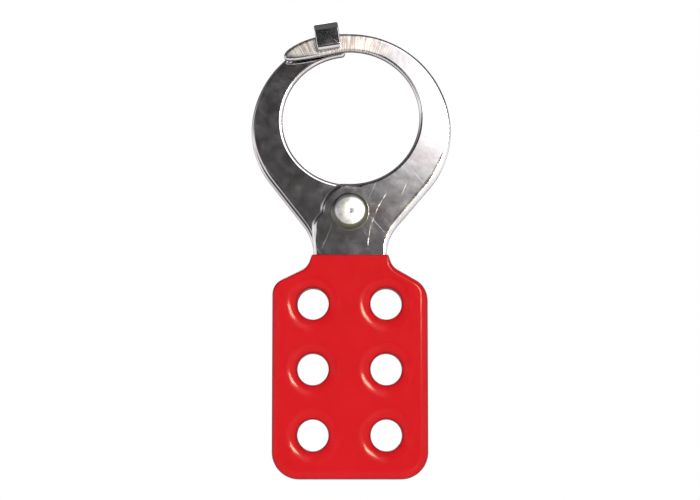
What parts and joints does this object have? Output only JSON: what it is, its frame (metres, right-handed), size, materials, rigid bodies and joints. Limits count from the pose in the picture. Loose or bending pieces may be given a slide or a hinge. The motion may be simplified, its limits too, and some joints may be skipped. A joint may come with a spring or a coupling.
{
  "type": "lockout hasp",
  "caption": "Scissor lockout hasp: steel jaws that close into a ring round an isolator's hasp point, and vinyl-dipped handles pierced for padlock shackles.",
  "frame": {"origin": "centre of the closed jaw opening, midway between the two legs", "axes": "+Z along the hasp from the handles to the jaws, +X to the right seen from the front, -Y out of the front face; the rivet's axis lies along Y"},
  "size_m": [0.054, 0.0112, 0.1237],
  "materials": {
    "polished_steel": "polished plate with fine scratches",
    "rivet_steel": "turned",
    "washer_steel": "satin",
    "red_vinyl": "glossy dipped vinyl"
  },
  "bodies": {
    "rear_leg": {"rear_leg": "polished_steel", "rear_handle_vinyl": "red_vinyl", "pivot_rivet": "rivet_steel", "spacer_washer": "washer_steel", "backing_washer": "washer_steel"},
    "front_leg": {"front_leg": "polished_steel", "front_handle_vinyl": "red_vinyl"}
  },
  "joints": [
    {"name": "jaw_pivot", "type": "hinge", "parent": "rear_leg", "child": "front_leg", "pos_m": [0, 0, -0.026], "axis": [0, 1, 0], "range_deg": [0, 45]}
  ]
}
